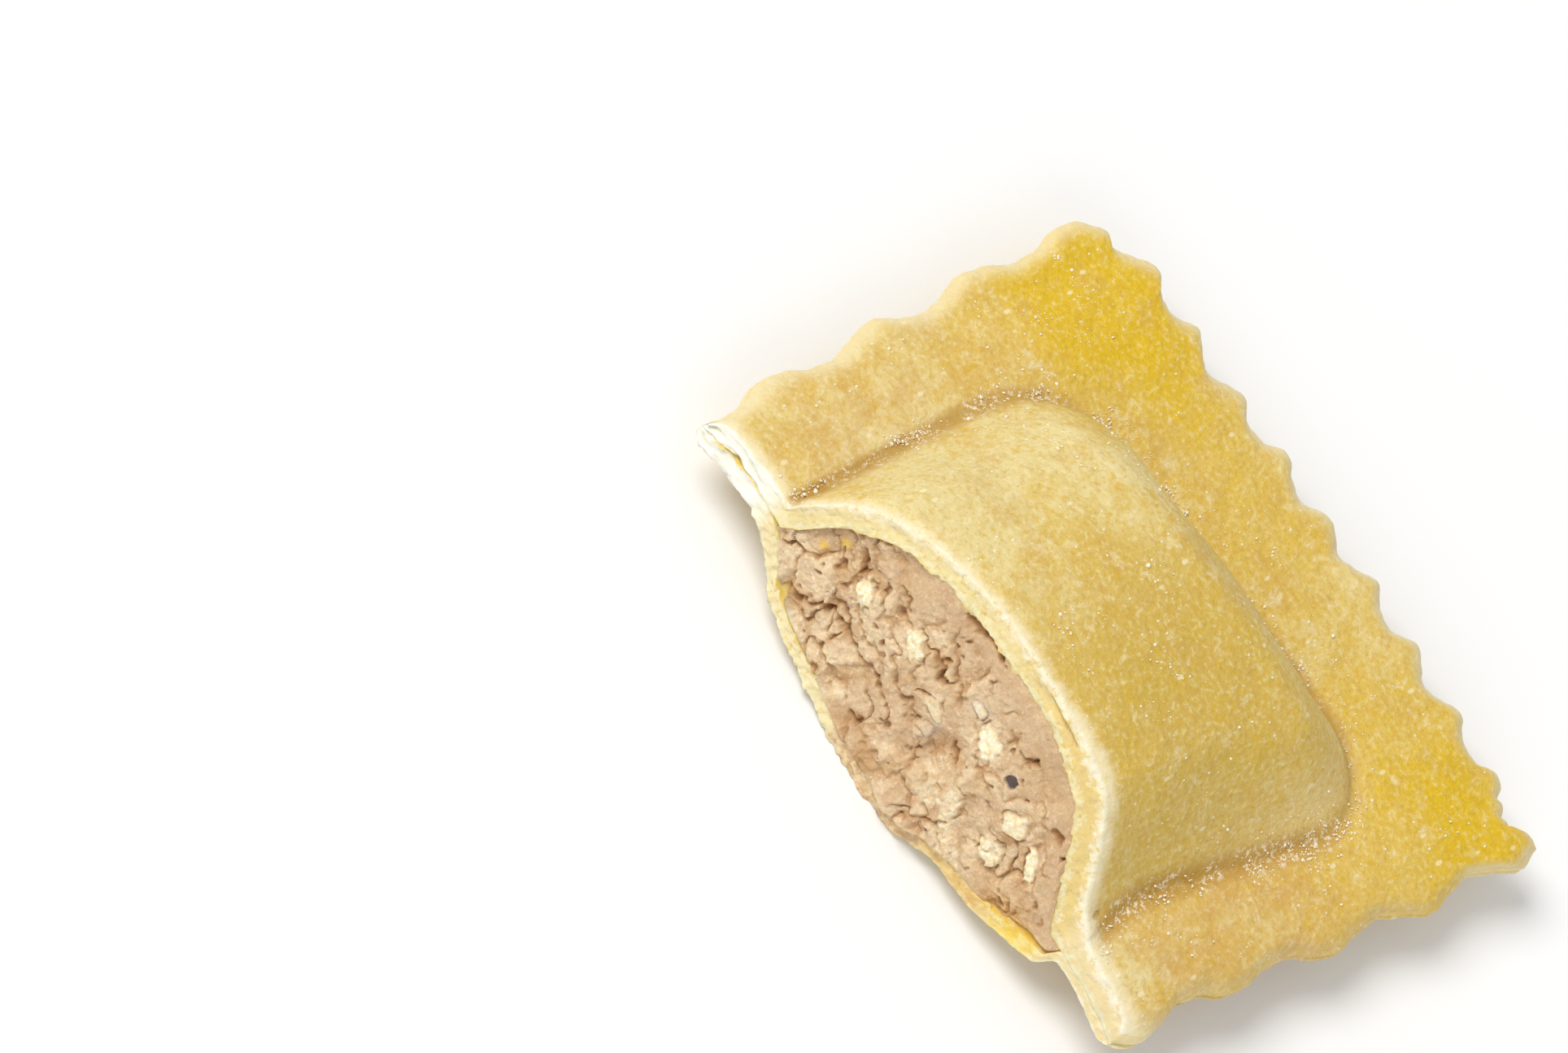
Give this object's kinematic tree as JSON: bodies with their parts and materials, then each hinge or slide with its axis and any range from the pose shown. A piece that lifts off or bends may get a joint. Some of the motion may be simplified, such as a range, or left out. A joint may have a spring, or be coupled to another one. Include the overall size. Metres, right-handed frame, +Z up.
{
  "type": "raviolo",
  "caption": "Cut rectangular ravioli with a crimped rim: domed egg dough over and under a craggy meat filling that shows in the slanted cut.",
  "frame": {"origin": "middle of the foot of the bounding box, on the plane the part rests on", "axes": "+X along the cut, +Y from the cut to the far crimped side, +Z up through the domed top sheet"},
  "size_m": [0.0502, 0.0356, 0.0148],
  "materials": {
    "dough": "floury satin egg dough",
    "pale_dough": "floury satin egg dough, paler",
    "meat": "moist coarse meat paste"
  },
  "bodies": {
    "root": {"top_sheet": "dough", "bottom_sheet": "pale_dough", "filling": "meat"}
  },
  "joints": []
}
